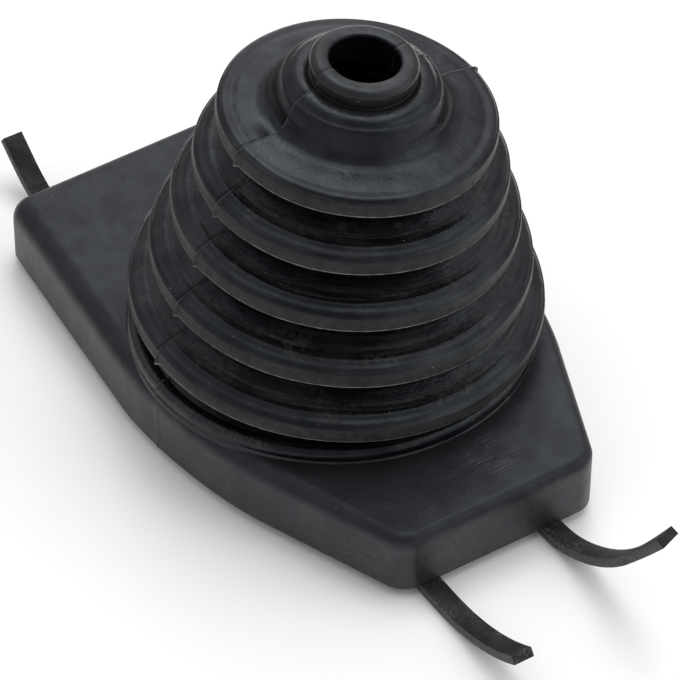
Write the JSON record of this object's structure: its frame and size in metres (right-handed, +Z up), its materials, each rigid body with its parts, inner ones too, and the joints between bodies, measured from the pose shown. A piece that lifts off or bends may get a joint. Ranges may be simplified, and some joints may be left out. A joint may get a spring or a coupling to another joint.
{
  "type": "joystick boot",
  "caption": "Moulded rubber boot for a joystick or gear lever: leaning bellows with a lipped neck on a low flat pan, resting on loose rubber straps.",
  "frame": {"origin": "middle of the footprint of the boot and its straps together, on the floor under the straps", "axes": "+Z up through the bellows, +X towards the narrow front of the pan, +Y to the right as seen from the front, as left and right are meant in the node names"},
  "size_m": [0.307, 0.139, 0.1427],
  "materials": {
    "moulded_rubber": "matte",
    "strap_rubber": "matte, slightly foamy"
  },
  "bodies": {
    "root": {"boot": "moulded_rubber", "left_strap": "strap_rubber", "right_strap": "strap_rubber"}
  },
  "joints": []
}
